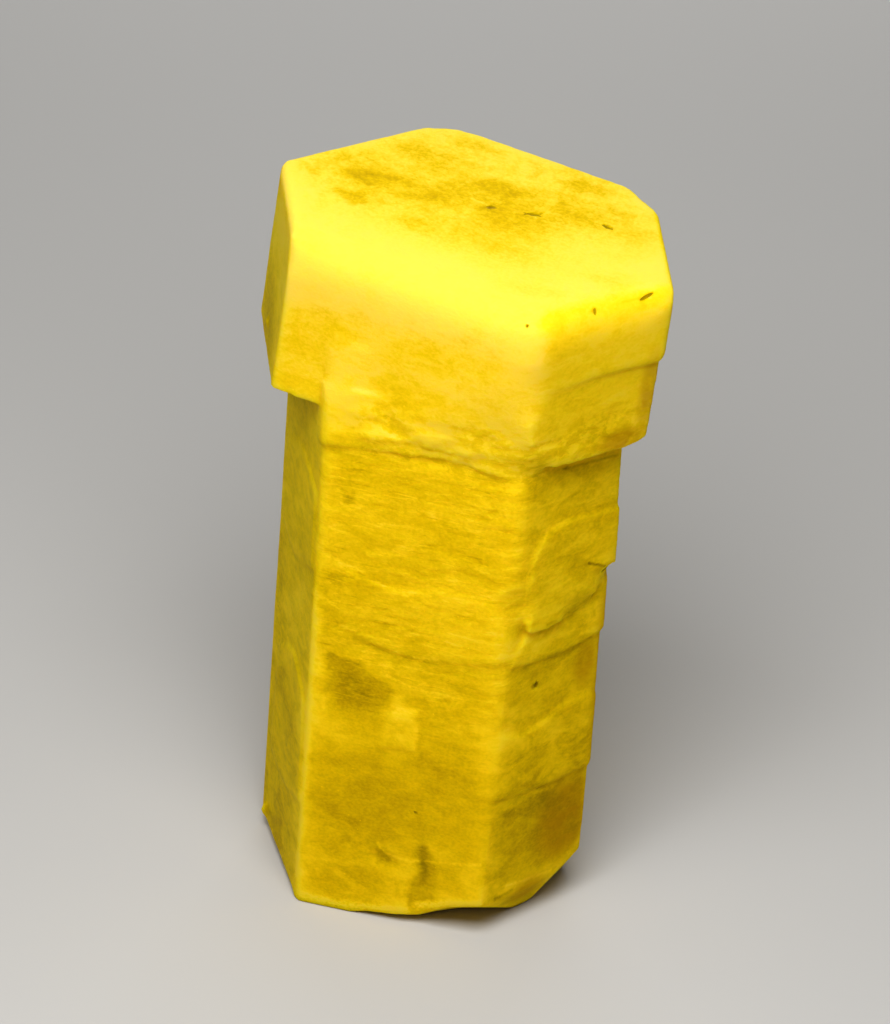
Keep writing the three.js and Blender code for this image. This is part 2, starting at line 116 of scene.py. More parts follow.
# Lighter and darker areas on each face: change of tone, then the corners counter-clockwise, each with how
# softly the area ends along the edge that starts there
SHADES = {
    "front": (
        # The clear window and its depth, and the painted highlight beside it down the left edge
        (-0.3, (
            (-3.6, 10.2, 0.7), (-1.1, 9.8, 0.35), (-0.75, 11.9, 0.15),
            (-1.9, 12.7, 0.1), (-3.75, 13.1, 0.12),
        )),
        (-0.14, ((-3.3, 10.9, 0.6), (-1.5, 10.5, 0.5), (-1.3, 12.0, 0.3), (-3.4, 12.7, 0.3))),
        (0.2, (
            (-4.6, 7.5, 0.5), (-4.1, 7.5, 0.1), (-3.75, 10.3, 0.1),
            (-3.85, 12.9, 0.1), (-4.2, 15, 0.4), (-4.6, 15, 0.3),
        )),
        (0.18, ((-4.6, 0.4, 0.3), (-4.15, 0.4, 0.12), (-4.1, 7.5, 0.5), (-4.6, 7.5, 0.3))),
        # The pale block and what is right of it, the dark zone, the light foot and the right edge
        (0.15, ((-0.7, 8.8, 0.1), (0.62, 8.85, 0.04), (0.6, 10.8, 0.2), (-0.6, 11.6, 0.4))),
        (-0.07, ((0.7, 8.0, 0.6), (2.6, 8.0, 0.8), (2.6, 11.2, 0.6), (0.7, 11.2, 0.04))),
        (-0.11, ((-4.3, 4.2, 0.8), (4.3, 4.2, 0.8), (4.3, 8.6, 0.8), (-4.3, 8.6, 0.8))),
        (0.12, ((-4.3, -0.5, 0.4), (4.3, -0.5, 0.4), (4.3, 2.6, 0.8), (-4.3, 2.6, 0.8))),
        # Painted highlight on the right edge
        (0.12, ((3.6, 7.0, 0.5), (4.6, 7.0, 0.3), (4.6, 15.0, 0.3), (3.6, 15.0, 0.5))),
        # The line below the window, the lens, the groove and the line that runs up from it
        (-0.08, ((-3.9, 7.6, 0.3), (0.8, 7.8, 0.5), (0.8, 8.3, 0.2), (-3.9, 8.1, 0.4))),
        # Painted shade in the lens, a recess below a small ledge
        (-0.2, ((-1.1, 2.85, 0.15), (-0.1, 2.75, 0.12), (-0.4, 3.4, 0.1), (-0.9, 3.75, 0.12))),
        (-0.26, ((0.75, 0.3, 0.1), (2.2, 0.6, 0.3), (2.1, 3.5, 0.2), (1.35, 4.1, 0.3), (0.75, 3.2, 0.1))),
        (-0.18, ((1.0, 2.0, 0.3), (1.5, 2.0, 0.2), (1.45, 4.1, 0.2), (1.1, 4.1, 0.15))),
        (-0.08, ((0.9, 4.0, 0.2), (1.35, 4.0, 0.15), (1.1, 6.9, 0.3), (0.85, 6.9, 0.12))),
        # High up: below the head's lip, left of the middle, and the pale ridge that climbs the head
        # Painted shade below the head's lip
        (-0.11, (
            (-3.9, 20.9, 0.8), (3.8, 22.3, 0.4), (3.8, 23.75, 0.1), (0.1, 23.85, 0.1), (-3.6, 23.6, 0.3),
        )),
        (-0.14, ((-3.9, 16.4, 0.4), (-1.9, 16.7, 0.6), (-1.9, 17.5, 0.15), (-3.9, 17.2, 0.3))),
        # Painted highlight on the ridge that climbs the head
        (0.14, (
            (-4.3, 24.9, 0.3), (-3.1, 25.0, 0.4), (-1.9, 27.5, 0.6), (-1.9, 29.1, 0.7), (-4.4, 28.3, 0.3),
        )),
        (0.12, ((-4.4, 24.65, 0.08), (-2.9, 24.95, 0.3), (-3.4, 26.2, 0.5), (-4.4, 26.6, 0.2))),
    ),
    "right": (
        # Olive below the band, the two pale bands, and dark and brown low down
        (-0.15, (
            (0.3, 11.9, 0.4), (3.2, 10.2, 0.5), (6.1, 9.6, 0.5),
            (6.1, 13.9, 0.1), (1.9, 13.75, 0.1), (0.4, 13.8, 0.4),
        )),
        (0.09, ((0.1, 14.3, 0.1), (5.8, 14.4, 0.3), (5.8, 15.3, 0.3), (1.45, 15.6, 0.3), (0.1, 15.6, 0.4))),
        (0.08, ((0.3, 9.6, 0.4), (5.9, 8.4, 0.3), (5.9, 9.1, 0.3), (2.4, 10.2, 0.3), (0.4, 11.1, 0.4))),
        (-0.22, (
            (1.0, 2.3, 0.3), (4.6, 2.3, 0.3), (6.0, 2.9, 0.3),
            (5.9, 6.75, 0.12), (1.9, 6.35, 0.15), (0.4, 6.4, 0.4),
        )),
        # Painted shade below the head's ledge, low on the head and under it
        (-0.1, (
            (0.6, 24.9, 0.6), (6.3, 24.2, 0.5), (6.4, 28.15, 0.06),
            (4.0, 28.45, 0.1), (1.6, 28.5, 0.4), (0.6, 27.8, 0.6),
        )),
        (-0.1, ((1.5, 24.6, 0.4), (6.0, 23.4, 0.4), (6.1, 24.9, 0.4), (1.5, 25.9, 0.6))),
        (-0.14, (
            (0.7, 22.6, 0.3), (5.9, 22.0, 0.3), (5.9, 22.95, 0.08), (2.6, 23.4, 0.08), (0.7, 23.9, 0.12),
        )),
    ),
    "left": (
        # Dark and light areas that cross the face, and the glow beside the edge
        (-0.14, ((-6.8, 12.3, 0.6), (-0.2, 16.2, 0.4), (-0.2, 19.6, 0.8), (-6.8, 17.0, 0.8))),
        (0.05, ((-6.8, 8.6, 0.6), (-0.3, 12.0, 0.5), (-0.3, 15.4, 0.5), (-6.8, 11.9, 0.5))),
        (-0.12, ((-6.8, 4.6, 0.8), (-1.6, 7.6, 0.6), (-1.6, 11.2, 0.8), (-6.8, 8.4, 0.8))),
        (0.09, ((-1.3, 3.5, 0.7), (-0.1, 3.5, 0.1), (-0.1, 11.5, 0.7), (-1.2, 11.5, 0.6))),
    ),
    "top": (
        # The pale area at the front left, the clearer lens near the front right corner, and the amber back
        (0.1, (
            (-7.5, -4.4, 0.5), (2.0, -6.0, 1.2), (0.5, -3.4, 1.2), (-4.5, -1.6, 1.0), (-8.0, -1.4, 0.6),
        )),
        (-0.16, ((2.6, -5.1, 0.3), (5.6, -4.7, 0.4), (5.4, -4.0, 0.4), (2.9, -4.3, 0.4))),
        (-0.2, ((-9.5, -0.3, 2.2), (9.5, 1.6, 2.5), (9.5, 9, 1), (-9.5, 9, 1))),
    ),
}

# Lighter and darker spots: middle, reach and change of tone. The first dims the whole top.
SPOTS = (
    ((-1.5, -0.2, 32.4), (11.0, 6.0, 3.0), -0.29),
    ((-7.5, 0.4, 33.0), (0.8, 0.6, 0.6), -0.16),
    ((-5.4, 0.9, 32.9), (1.7, 0.8, 0.6), -0.2),
    ((-5.5, -0.9, 32.8), (1.5, 0.7, 0.6), -0.16),
    ((-3.9, 1.4, 32.7), (1.0, 0.6, 0.6), -0.16),
    ((-1.8, 0.9, 32.6), (2.0, 1.2, 0.6), -0.12),
    ((0.4, 3.2, 32.4), (2.2, 0.9, 0.6), -0.16),
    ((-1.8, 6.0, 32.6), (2.2, 0.8, 0.6), -0.2),
    ((-4.3, 4.3, 32.8), (2.4, 0.9, 0.6), -0.18),
    ((3.5, 5.0, 32.2), (1.6, 0.7, 0.6), -0.16),
    ((0.3, 0.8, 32.4), (1.2, 0.6, 0.6), -0.12),
    ((-2.2, -1.9, 32.5), (1.4, 0.8, 0.6), -0.14),
    ((2.4, -2.1, 32.2), (2.4, 1.0, 0.6), -0.08),
    ((6.4, -2.2, 31.8), (1.4, 0.7, 0.6), -0.16),
    ((7.4, -1.6, 31.8), (1.2, 0.9, 0.6), -0.14),
    ((7.0, 1.9, 31.9), (1.4, 1.6, 0.6), -0.12),
    ((8.3, -2.35, 31.5), (0.45, 0.4, 0.5), -0.2),
    ((6.1, -3.0, 11.4), (1.1, 1.4, 0.6), -0.16),
    ((6.9, -1.8, 12.9), (0.9, 1.4, 1.0), -0.14),
    # Painted shade low on the head's left face and painted light high on it, where light falls from above
    ((-8.2, -2.2, 26.8), (2.4, 3.2, 3.6), -0.44),
    ((-8.0, -2.6, 31.4), (1.8, 3.0, 1.8), 0.16),
    # Painted shade on the chipped wedge below the foot's rim
    ((5.4, -3.6, 1.0), (1.6, 1.8, 0.9), -0.3),
    ((6.2, -2.8, 4.2), (2.0, 2.4, 2.2), -0.14),
    ((-3.1, -6.3, 21.1), (0.4, 0.4, 0.3), -0.2),
    ((-5.6, -5.9, 28.0), (1.2, 0.6, 0.9), -0.1),
    ((-1.6, -6.5, 27.0), (1.4, 0.6, 0.7), -0.08),
    ((1.0, -6.7, 25.5), (0.8, 0.9, 0.75), 0.34),
    ((1.9, -6.6, 24.6), (1.4, 0.9, 0.6), 0.34),
    ((0.1, -6.6, 24.8), (1.1, 0.9, 0.5), 0.26),
    ((-0.7, -6.6, 25.6), (1.3, 0.9, 0.6), 0.2),
    ((-3.4, -6.4, 24.6), (1.2, 0.9, 0.5), 0.22),
    ((4.0, -6.7, 25.9), (1.2, 0.9, 1.0), 0.18),
    ((2.1, -6.9, 27.8), (2.2, 0.6, 1.6), 0.1),
    # Painted highlight below the head's rounded top edge at the front right
    ((5.0, -6.7, 29.6), (1.8, 1.4, 1.4), 0.16),
)

# Thin light and dark lines: change of tone, width, and the places that each one runs through
STROKES = (
    # Front of the stem: right of the window, from the lens, two flecks, the bottom rim and the left edge
    (0.3, 0.14, ((-1.15, -6.28, 12.58), (0.2, -6.28, 12.2), (1.84, -6.28, 12.08), (4.2, -6.28, 12.25))),
    # Painted highlight along the ledge above the lens
    (0.3, 0.13, ((-0.78, -6.28, 3.89), (-0.37, -6.25, 3.41), (0.8, -6.28, 3.32), (3.95, -6.28, 3.83))),
    (0.3, 0.18, ((0.35, -6.3, 13.78), (1.4, -6.3, 13.88))),
    (0.35, 0.16, ((-3.33, -6.28, 17.69), (-2.25, -6.28, 17.49))),
    # Painted highlights along the bottom rim and the left edge
    (0.6, 0.32, ((-4.2, -6.3, 0.45), (-2.48, -6.3, 0.35), (-0.86, -6.3, 0.55), (0.75, -6.3, 0.7))),
    (0.6, 0.32, ((1.2, -6.3, 1.05), (2.36, -6.3, 1.5), (4.07, -6.3, 1.8))),
    (0.4, 0.28, ((-4.38, -6.22, 16), (-4.38, -6.22, 9), (-4.5, -6.05, 1.2))),
    # Right of the stem: the foot's rim, the tab's lip, the dark line below it and the notch
    # Painted highlight on the foot's rim
    (0.35, 0.14, ((4.77, -4.99, 2.25), (5.32, -4.04, 2.05), (6.22, -2.47, 1.95))),
    (-0.5, 0.2, ((4.55, -5.4, 1.7), (5.1, -4.6, 1.8))),
    # Painted highlight on the tab's lip, and painted shadow in the line below it
    (0.25, 0.14, ((5.51, -4.7, 20.54), (4.98, -5.6, 18.6), (4.83, -5.4, 15.82))),
    (-0.3, 0.15, ((5.77, -4.46, 15.64), (6.48, -3.23, 15.65))),
    # Painted shadow in the notch
    (-0.6, 0.13, ((6.91, -2.49, 17.94), (7.42, -1.6, 17.42))),
    # Head: the dark line under it at the right, and the two lips where it spreads over the stem's front
    # Painted shadow under the head at the right
    (-0.35, 0.14, ((5.83, -4.15, 23.33), (7.49, -1.28, 22.87))),
    # Painted highlights on the two lips
    (0.25, 0.16, ((-4.3, -6.4, 24.75), (-2.4, -6.41, 25.02), (-1.53, -6.45, 24.7))),
    (0.25, 0.16, ((-1.52, -6.41, 24.18), (1.4, -6.41, 24.2), (1.72, -6.35, 23.95), (3.28, -6.41, 23.95))),
    # Top: a light scratch, two dark hairs and the end of the fissure
    (0.2, 0.12, ((-0.6, 1.5, 32.4), (0.2, 1.35, 32.4))),
    (-0.9, 0.07, ((1.86, 1.4, 32.3), (2.1, 1.62, 32.3), (2.54, 1.59, 32.3))),
    (-0.8, 0.07, ((5.18, 2.28, 32), (5.4, 2.12, 32), (5.64, 2.12, 32))),
    (-0.25, 0.12, ((7.74, -3.1, 31.61), (8.33, -2.41, 31.53))),
)

# Pits and scratches: place, then length, width and depth, then turn and bend in degrees
PITS = (
    ((2.20, 1.56, 32.24), (0.72, 0.09, 0.06), 17, 60),
    ((0.37, 1.28, 32.39), (0.17, 0.15, 0.06), 0, 0),
    ((5.38, 2.23, 32.00), (0.44, 0.09, 0.06), -25, 40),
    ((8.50, -2.15, 31.50), (0.75, 0.16, 0.045), 68, 0),
    ((6.88, -4.36, 31.58), (0.16, 0.34, 0.05), 40, 0),
    ((4.48, -6.85, 31.60), (0.10, 0.14, 0.05), 0, 0),
    ((5.38, -4.28, 12.37), (0.22, 0.30, 0.12), 15, 0),
    ((0.82, -6.26, 5.88), (0.11, 0.10, 0.05), 0, 0),
    ((7.05, -1.35, 17.30), (0.55, 0.14, 0.12), 10, 0),
)

# Lumps and flakes: place, then length, width and height, then turn in degrees
LUMPS = (
    ((1.00, -6.60, 25.55), (0.60, 0.85, 0.10), 5),
    ((-0.30, -6.45, 25.20), (0.70, 0.50, 0.07), 0),
    ((1.63, -6.30, 23.98), (0.90, 0.34, 0.09), -14),
    ((2.10, -6.50, 24.55), (1.10, 0.55, 0.09), -8),
    ((3.10, -6.30, 23.98), (0.85, 0.36, 0.09), -12),
    ((0.30, -6.40, 24.50), (0.90, 0.50, 0.07), -6),
    ((-8.39, -2.28, 26.62), (0.40, 0.50, 0.14), 0),
    ((-7.50, -0.75, 0.95), (0.40, 0.80, 0.25), -20),
)

# Where the surface melts over its edges and ledges: middle and reach
MELTED = (
    ((-5.6, -5.9, 32.2), (1.6, 1.7, 1.7)),
    ((-3.7, -6.1, 32.1), (2.0, 1.8, 1.8)),
    ((-1.6, -6.4, 31.9), (2.0, 1.8, 1.8)),
    ((0.5, -6.7, 31.8), (2.0, 1.8, 1.8)),
    ((2.6, -6.9, 31.6), (2.0, 1.8, 1.8)),
    ((4.4, -6.9, 31.4), (2.0, 2.0, 1.8)),
    ((5.7, -5.8, 31.3), (1.8, 1.8, 1.7)),
    ((7.0, -4.3, 31.3), (1.8, 1.8, 1.7)),
    ((8.1, -2.9, 31.3), (1.7, 1.7, 1.6)),
    ((-3.9, -6.3, 27.6), (0.9, 1.2, 2.4)),
    ((0.4, -6.8, 25.9), (2.0, 1.2, 1.3)),
    ((2.4, -6.9, 27.2), (2.0, 1.2, 1.5)),
    ((4.3, -7.0, 28.2), (1.8, 1.4, 1.8)),
    ((4.7, -6.3, 24.4), (1.6, 1.5, 1.4)),
    ((4.7, -5.9, 16.9), (1.2, 1.2, 1.2)),
    ((6.4, -2.9, 16.1), (1.2, 1.4, 0.8)),
    ((7.2, -1.6, 16.9), (1.2, 1.2, 0.7)),
)

# Rusty stains, partly painted shade in the notch and under the head: middle and reach
STAINS_AND_SHADE = (
    ((5.6, -3.6, 1.4), (1.6, 1.6, 1.1)),
    ((7.0, -1.6, 17.4), (0.5, 0.9, 0.35)),
    ((6.6, -2.1, 4.6), (1.9, 2.5, 3.2)),
    ((6.8, -1.6, 12.4), (0.9, 1.2, 1.6)),
    ((7.5, -0.9, 12.0), (0.7, 0.8, 10.0)),
    ((8.9, -1.8, 26.2), (0.7, 0.9, 3.5)),
    ((8.0, -2.6, 24.4), (1.6, 2.0, 0.9)),
)


class CrystalShape(bpy.types.PropertyGroup):
    """Sizes of the grown surface"""

    mesh_size: bpy.props.FloatProperty(
        name="Mesh size", description="Edge length while the surface grows", default=0.1 * MM, unit="LENGTH"
    )
    triangles: bpy.props.IntProperty(
        name="Triangles", description="How many triangles the finished surface keeps", default=190000
    )
    wear: bpy.props.FloatProperty(
        name="Wear", description="How far the sharp edges are rounded off", default=0.2 * MM, unit="LENGTH"
    )
    swell: bpy.props.FloatProperty(
        name="Swell", description="Height of the broad unevenness", default=0.06 * MM, unit="LENGTH"
    )
    steps: bpy.props.FloatProperty(
        name="Growth steps", description="Height of the thin layers", default=0.017 * MM, unit="LENGTH"
    )
    scales: bpy.props.FloatProperty(
        name="Scales", description="Height of the scales below the head", default=0.035 * MM, unit="LENGTH"
    )
    grain: bpy.props.FloatProperty(
        name="Grain", description="Height of the fine grain all over", default=0.012 * MM, unit="LENGTH"
    )


class CrystalColours(bpy.types.PropertyGroup):
    """Colours and finish of the mineral"""

    dark: bpy.props.FloatVectorProperty(
        name="Dark", description="Olive brown of pits", subtype="COLOR", default=(0.30, 0.19, 0.001)
    )
    deep: bpy.props.FloatVectorProperty(
        name="Deep", description="Yellow of clear mineral", subtype="COLOR", default=(0.53, 0.33, 0.001)
    )
    body: bpy.props.FloatVectorProperty(
        name="Body", description="Yellow of the mineral", subtype="COLOR", default=(0.73, 0.47, 0.001)
    )
    cloud: bpy.props.FloatVectorProperty(
        name="Cloud", description="Yellow of cloudy mineral", subtype="COLOR", default=(0.88, 0.575, 0.004)
    )
    bright: bpy.props.FloatVectorProperty(
        name="Bright", description="Yellow of bright flakes", subtype="COLOR", default=(0.97, 0.64, 0.008)
    )
    # Partly the mineral's own milkiness, partly painted sheen on faces that look up
    milk_and_sheen: bpy.props.FloatVectorProperty(
        name="Milk", description="Yellow of milky mineral", subtype="COLOR", default=(0.95, 0.62, 0.058)
    )
    # Also the colour of the painted shade in the notch and under the head
    rust_and_shade: bpy.props.FloatVectorProperty(
        name="Rust", description="Orange brown of stains", subtype="COLOR", default=(0.40, 0.17, 0.001)
    )
    glow: bpy.props.FloatProperty(
        name="Glow", description="Share of light that spreads inside", default=0.8, subtype="FACTOR"
    )
    glow_depth: bpy.props.FloatProperty(
        name="Glow depth", description="How far light spreads inside", default=1.0 * MM, unit="LENGTH"
    )
    sheen: bpy.props.FloatProperty(
        name="Sheen", description="Strength of the faces' reflections", default=0.004, subtype="FACTOR"
    )
    roughness: bpy.props.FloatProperty(
        name="Roughness", description="Roughness of the faces", default=0.5, subtype="FACTOR"
    )


class CrystalStudio(bpy.types.PropertyGroup):
    """Camera and light"""

    azimuth: bpy.props.FloatProperty(
        name="Azimuth", description="Camera right of the front", default=math.radians(15), subtype="ANGLE"
    )
    elevation: bpy.props.FloatProperty(
        name="Elevation", description="Camera above the horizon", default=math.radians(30), subtype="ANGLE"
    )
    roll: bpy.props.FloatProperty(
        name="Roll", description="Camera leaning to its left", default=math.radians(3.892), subtype="ANGLE"
    )
    distance: bpy.props.FloatProperty(
        name="Distance", description="Camera to the middle of the picture", default=0.5, unit="LENGTH"
    )
    lens: bpy.props.FloatProperty(
        name="Lens", description="Focal length", default=395.5, subtype="DISTANCE_CAMERA"
    )
    key: bpy.props.FloatProperty(
        name="Key light", description="Power of the softbox above the front", default=0.185, unit="POWER"
    )
    back: bpy.props.FloatProperty(
        name="Back light", description="Power of the large softbox low behind", default=0.12, unit="POWER"
    )
    fill: bpy.props.FloatProperty(
        name="Fill light", description="Strength of the light from all round", default=0.1
    )
    floor: bpy.props.FloatVectorProperty(
        name="Floor", description="Colour of the floor", subtype="COLOR", default=(0.5, 0.49, 0.47)
    )


# Mesh helpers


def deselect():
    for thing in bpy.context.selected_objects:
        thing.select_set(False)


def only(thing):
    deselect()
    thing.select_set(True)
    bpy.context.view_layer.objects.active = thing


def apply_modifier(piece, modifier):
    only(piece)
    bpy.ops.object.modifier_apply(modifier=modifier.name)


def places(piece):
    """Every vertex of a piece, in millimetres"""
    points = np.empty(len(piece.data.vertices) * 3)
    piece.data.vertices.foreach_get("co", points)
    return points.reshape(-1, 3) / MM


def outward(piece):
    """The unit normal at every vertex"""
    normals = np.empty(len(piece.data.vertices) * 3, np.float32)
    piece.data.vertex_normals.foreach_get("vector", normals)
    return normals.reshape(-1, 3)


def soft_step(value, low, high):
    share = np.clip((value - low) / (high - low), 0, 1)
    return share * share * (3 - 2 * share)


def patches(where, spots):
    """1 in the middle of each spot, falling to 0 at its reach"""
    covered = np.zeros(len(where))
    for middle, reach in spots:
        away = np.linalg.norm((where - np.array(middle)) / np.array(reach), axis=1)
        covered = np.maximum(covered, 1 - soft_step(away, 0.3, 1))
    return covered


def weigh(piece, name, weights, levels=20):
    """A vertex group of these weights, in even levels"""
    group = piece.vertex_groups.new(name=name)
    level = np.rint(np.clip(weights, 0, 1) * levels).astype(int)
    for step in range(1, levels + 1):
        group.add(np.flatnonzero(level == step).tolist(), step / levels, "REPLACE")
    return group.name


def mark(piece, name, values):
    """Keeps one value per vertex for the material to read"""
    attribute = piece.data.attributes.new(name, "FLOAT", "POINT")
    attribute.data.foreach_set("value", values.astype(np.float32))


# The piece


def copied_solid():
    """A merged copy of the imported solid, to grow the surface on"""
    only(frame["nodes"][NODE])
    bpy.ops.object.duplicate()
    piece = bpy.context.object
    piece.parent = None
    piece.name = PIECE
    piece.data.name = PIECE
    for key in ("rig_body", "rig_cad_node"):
        del piece[key]
    bpy.ops.object.mode_set(mode="EDIT")
    bpy.ops.mesh.select_all(action="SELECT")
    bpy.ops.mesh.remove_doubles(threshold=SAME_POINT * MM)
    bpy.ops.object.mode_set(mode="OBJECT")
    return piece


def spindle(piece, place, size, turn, bend=0):
    """A small rounded body laid on the surface nearest to a place, with its matrix on the surface"""
    _, point, normal, _ = piece.closest_point_on_mesh(Vector(place) * MM)
    upright = abs(normal.z) < 0.7
    right = (Vector((0, 0, 1)) if upright else Vector((0, 1, 0))).cross(normal).normalized()
    seat = Matrix((right, normal.cross(right), normal)).transposed().to_4x4()
    seat = Matrix.Translation(point) @ seat @ Matrix.Rotation(math.radians(turn), 4, "Z")
    bpy.ops.mesh.primitive_ico_sphere_add(subdivisions=3, radius=1)
    body = bpy.context.object
    length, width, depth = size
    body.scale = Vector((length / 2, width / 2, depth)) * MM
    bpy.ops.object.transform_apply(location=False, rotation=False, scale=True)
    if bend:
        modifier = body.modifiers.new("Bend", "SIMPLE_DEFORM")
        modifier.deform_method = "BEND"
        modifier.deform_axis = "Z"
        modifier.angle = math.radians(bend)
        apply_modifier(body, modifier)
    body.matrix_world = seat
    bpy.ops.object.transform_apply(location=True, rotation=True, scale=True)
    return body, seat


def joined(bodies):
    only(bodies[0])
    for body in bodies[1:]:
        body.select_set(True)
    bpy.ops.object.join()
    return bpy.context.object


def add_lumps(piece):
    """Lays the lumps and flakes on the copy, for the remesh to fuse"""
    bodies = [spindle(piece, place, size, turn)[0] for place, size, turn in LUMPS]
    joined([piece, *bodies])


def remesh(piece, size):
    modifier = piece.modifiers.new("Fine mesh", "REMESH")
    modifier.mode = "VOXEL"
    modifier.voxel_size = size
    apply_modifier(piece, modifier)


def smoothing_rounds(reach, size):
    """How many rounds of smoothing spread a point over this reach"""
    return max(1, round(2 * (reach / size) ** 2))


def soften(piece, rounds, factor=0.5, group=""):
    modifier = piece.modifiers.new("Soften", "SMOOTH")
    modifier.factor = factor
    modifier.iterations = rounds
    modifier.vertex_group = group
    apply_modifier(piece, modifier)


def melt(piece, size):
    """Rounds off the places where the head melts into the stem"""
    group = weigh(piece, "Melted", patches(places(piece), MELTED))
    soften(piece, smoothing_rounds(MELT_REACH * MM, size), 1.0, group)


def pattern(name, kind, stretch, **settings):
    """A texture and the empty that stretches it, by millimetres along each axis"""
    texture = bpy.data.textures.new(name, kind)
    for key, value in settings.items():
        setattr(texture, key, value)
    bpy.ops.object.empty_add()
    guide = bpy.context.object
    guide.scale = Vector(stretch) * MM
    bpy.context.view_layer.update()
    return texture, guide


def raise_by(piece, texture, guide, height, group=""):
    """Lifts the surface by a texture, evenly up and down"""
    modifier = piece.modifiers.new(texture.name, "DISPLACE")
    modifier.texture = texture
    modifier.texture_coords = "OBJECT"
    modifier.texture_coords_object = guide
    modifier.strength = height
    modifier.mid_level = 0.5
    modifier.vertex_group = group
    apply_modifier(piece, modifier)
    bpy.data.objects.remove(guide)
    bpy.data.textures.remove(texture)


def clear_of_base(piece):
    """0 on the flat that the crystal rests on, 1 a little above it"""
    return soft_step(places(piece)[:, 2], 0.05, 0.4)


def grow_swell(piece, height):
    group = weigh(piece, "Above the base", clear_of_base(piece))
    texture, guide = pattern("Swell", "CLOUDS", (5, 5, 5), noise_scale=1.0, noise_depth=1)
    raise_by(piece, texture, guide, height, group)


def ragged_cells(name, stretch, raggedness):
    """Flat cells of random height with ragged outlines"""
    return pattern(
        name, "DISTORTED_NOISE", stretch, noise_scale=1.0, distortion=raggedness,
        noise_basis="CELL_NOISE", noise_distortion="BLENDER_ORIGINAL",
    )


def layered(piece):
    """How strongly the growth layers show: most on the upper front of the stem, less on its other faces"""
    where, normals = places(piece), outward(piece)
    upright = 1 - soft_step(np.abs(normals[:, 2]), 0.2, 0.6)
    front = 0.08 + 0.25 * soft_step(normals[:, 0], 0.2, 0.6) + 0.92 * soft_step(-normals[:, 1], 0.6, 0.9)
    stem = soft_step(where[:, 2], 8, 14) * (1 - soft_step(where[:, 2], 23.5, 26))
    return upright * front * (0.2 + 0.8 * stem)


def grow_steps(piece, height):
    """Thin level layers on the upright faces"""
    group = weigh(piece, "Layered faces", layered(piece) * clear_of_base(piece))
    layers = (("Broad layers", (3.0, 3.0, 0.8), 1.0), ("Narrow layers", (1.6, 1.6, 0.3), 0.6))
    for name, stretch, share in layers:
        texture, guide = ragged_cells(name, stretch, 0.8)
        raise_by(piece, texture, guide, share * height, group)


def roughened(piece):
    """1 where the head spreads over the front of the stem, falling to 0 around it"""
    where = places(piece)
    level = soft_step(where[:, 2], 22.9, 23.8) * (1 - soft_step(where[:, 2], 25.2, 26.8))
    front = soft_step(-outward(piece)[:, 1], 0.2, 0.7)
    return level * front * soft_step(where[:, 0], -4.2, -2.6)


def grow_scales(piece, height):
    """Rough scales where the head spreads over the front of the stem"""
    group = weigh(piece, "Below the head", roughened(piece))
    texture, guide = ragged_cells("Scales", (1.3, 1.3, 0.6), 0.6)
    raise_by(piece, texture, guide, height, group)
    soften(piece, 4, 0.5, group)


def grow_grain(piece, height):
    group = weigh(piece, "Grained", clear_of_base(piece))
    texture, guide = pattern("Grain", "CLOUDS", (0.5, 0.5, 0.35), noise_scale=1.0, noise_depth=1)
    raise_by(piece, texture, guide, height, group)


def clear_slivers(piece):
    """Merges away the hair-thin faces that a cut leaves along its rim"""
    only(piece)
    bpy.ops.object.mode_set(mode="EDIT")
    bpy.ops.mesh.select_all(action="SELECT")
    bpy.ops.mesh.remove_doubles(threshold=SLIVER * MM)
    bpy.ops.mesh.dissolve_degenerate(threshold=SLIVER * MM)
    bpy.ops.object.mode_set(mode="OBJECT")


def cut_pits(piece):
    """Cuts the pits and scratches, and marks what lies in them"""
    made = [spindle(piece, place, size, turn, bend) for place, size, turn, bend in PITS]
    cutter = joined([body for body, _ in made])
    modifier = piece.modifiers.new("Pits", "BOOLEAN")
    modifier.operation = "DIFFERENCE"
    modifier.solver = "MANIFOLD"
    modifier.object = cutter
    apply_modifier(piece, modifier)
    bpy.data.objects.remove(cutter)
    clear_slivers(piece)
    where = places(piece)
    inside = np.zeros(len(where))
    for (_, seat), (_, (length, width, depth), _, _) in zip(made, PITS):
        turn_in = np.array(seat.inverted())
        local = where * MM @ turn_in[:3, :3].T + turn_in[:3, 3]
        # A little beyond the pit's ends, and further across it, because a bend moves its middle sideways
        away = np.linalg.norm(local / (np.array((1.1 * length, 2.2 * width, 2.2 * depth)) * MM / 2), axis=1)
        sunk = soft_step(-local[:, 2] / (depth * MM), 0.05, 0.4)
        inside = np.maximum(inside, (away < 1) * sunk)
    mark(piece, "pit", inside)


def wobble(where, size=1.1, reach=0.36):
    """A small shift that varies from place to place, so that no shaded area ends on a straight line"""
    noise.seed_set(WOBBLE_SEED)
    scaled = [Vector(place) / size for place in where]
    shift = [noise.noise_vector(place) + noise.noise_vector(3 * place) / 2 for place in scaled]
    return np.array(shift) * reach


def shade_area(where, normals, face, corners):
    """1 inside an outline on a face, ending along each edge as softly as that edge asks"""
    origin, along, up = (np.array(value) for value in FACES[face])
    out = np.cross(along, up)
    local = where - origin
    flat = np.stack([local @ along, local @ up], 1)
    # Only where the surface looks the same way as the face and lies near it
    covered = soft_step(normals @ out, 0.3, 0.8) * (1 - soft_step(np.abs(local @ out), 1.5, 2.5))
    for (x, y, softness), (next_x, next_y, _) in zip(corners, corners[1:] + corners[:1]):
        edge = np.array((next_x - x, next_y - y))
        inside = (flat - (x, y)) @ (-edge[1], edge[0]) / np.linalg.norm(edge)
        covered *= soft_step(inside, -softness, softness)
    return covered


